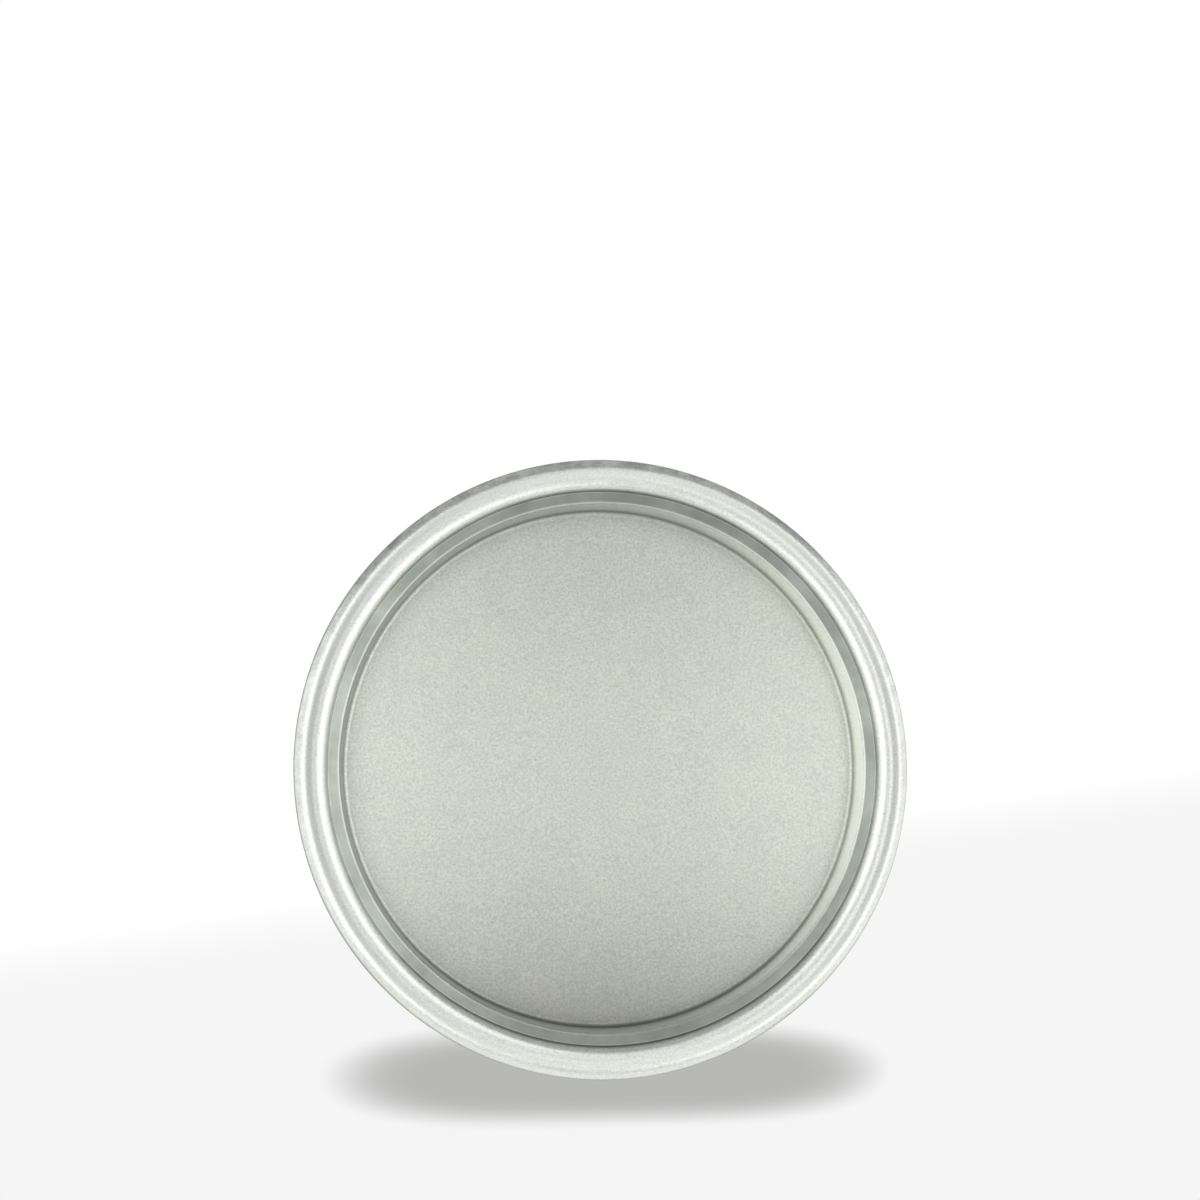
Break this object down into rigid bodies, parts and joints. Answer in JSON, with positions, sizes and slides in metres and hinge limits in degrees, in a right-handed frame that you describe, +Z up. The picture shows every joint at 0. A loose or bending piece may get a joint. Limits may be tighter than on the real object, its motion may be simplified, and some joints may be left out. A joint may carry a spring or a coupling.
{
  "type": "tennis ball can",
  "caption": "Round metal can with a drawn recessed base, a tear-open end with a ring pull, and a press-on lid, filled with felt-covered balls.",
  "frame": {"origin": "centre of the standing plane of the foot rim, on the can's axis", "axes": "+Z up the can's axis towards the overcap; +Y towards the nose of the pull tab"},
  "size_m": [0.0788, 0.0788, 0.2123],
  "materials": {
    "bare_tinplate": "matte, drawn",
    "end_aluminium": "lacquered, rolled",
    "tab_aluminium": "bright, curled",
    "sealing_compound": "matte",
    "cap_polyethylene": "milky, moulded",
    "ball_felt": "napped",
    "ball_rubber": "moulded",
    "ball_seam_rubber": "cured"
  },
  "bodies": {
    "can": {"can_body": "bare_tinplate", "end_ring": "end_aluminium", "seam_compound": "sealing_compound"},
    "cap": {"overcap": "cap_polyethylene"},
    "panel": {"tear_panel": "end_aluminium", "tab_tongue": "tab_aluminium"},
    "tab": {"pull_tab": "tab_aluminium"},
    "ball_bottom": {"ball_bottom_core_a": "ball_rubber", "ball_bottom_core_b": "ball_rubber", "ball_bottom_felt_a": "ball_felt", "ball_bottom_felt_b": "ball_felt", "ball_bottom_seam": "ball_seam_rubber"},
    "ball_middle": {"ball_middle_core_a": "ball_rubber", "ball_middle_core_b": "ball_rubber", "ball_middle_felt_a": "ball_felt", "ball_middle_felt_b": "ball_felt", "ball_middle_seam": "ball_seam_rubber"},
    "ball_top": {"ball_top_core_a": "ball_rubber", "ball_top_core_b": "ball_rubber", "ball_top_felt_a": "ball_felt", "ball_top_felt_b": "ball_felt", "ball_top_seam": "ball_seam_rubber"}
  },
  "joints": [
    {"name": "cap_lift", "type": "slide", "parent": "can", "child": "cap", "axis": [0, 0, 1], "range_m": [0, 0.225]},
    {"name": "panel_peel", "type": "hinge", "parent": "can", "child": "panel", "pos_m": [0, -0.0392, 0.21], "axis": [1, 0, 0], "range_deg": [0, 150]},
    {"name": "tab_lift", "type": "hinge", "parent": "panel", "child": "tab", "pos_m": [0, 0.03185, 0.20787], "axis": [-1, 0, 0], "range_deg": [0, 70]},
    {"name": "ball_bottom_lift", "type": "slide", "parent": "can", "child": "ball_bottom", "axis": [0, 0, 1], "range_m": [0, 0.075]},
    {"name": "ball_middle_lift", "type": "slide", "parent": "can", "child": "ball_middle", "axis": [0, 0, 1], "range_m": [0, 0.075]},
    {"name": "ball_top_lift", "type": "slide", "parent": "can", "child": "ball_top", "axis": [0, 0, 1], "range_m": [0, 0.075]}
  ],
  "couplings": [
    {"joint": "panel_peel", "follows": "cap_lift", "rad_per_m": 11.63},
    {"joint": "tab_lift", "follows": "cap_lift", "rad_per_m": 5.42},
    {"joint": "ball_bottom_lift", "follows": "cap_lift", "ratio": 0.3333},
    {"joint": "ball_middle_lift", "follows": "cap_lift", "ratio": 0.3333},
    {"joint": "ball_top_lift", "follows": "cap_lift", "ratio": 0.3333}
  ]
}
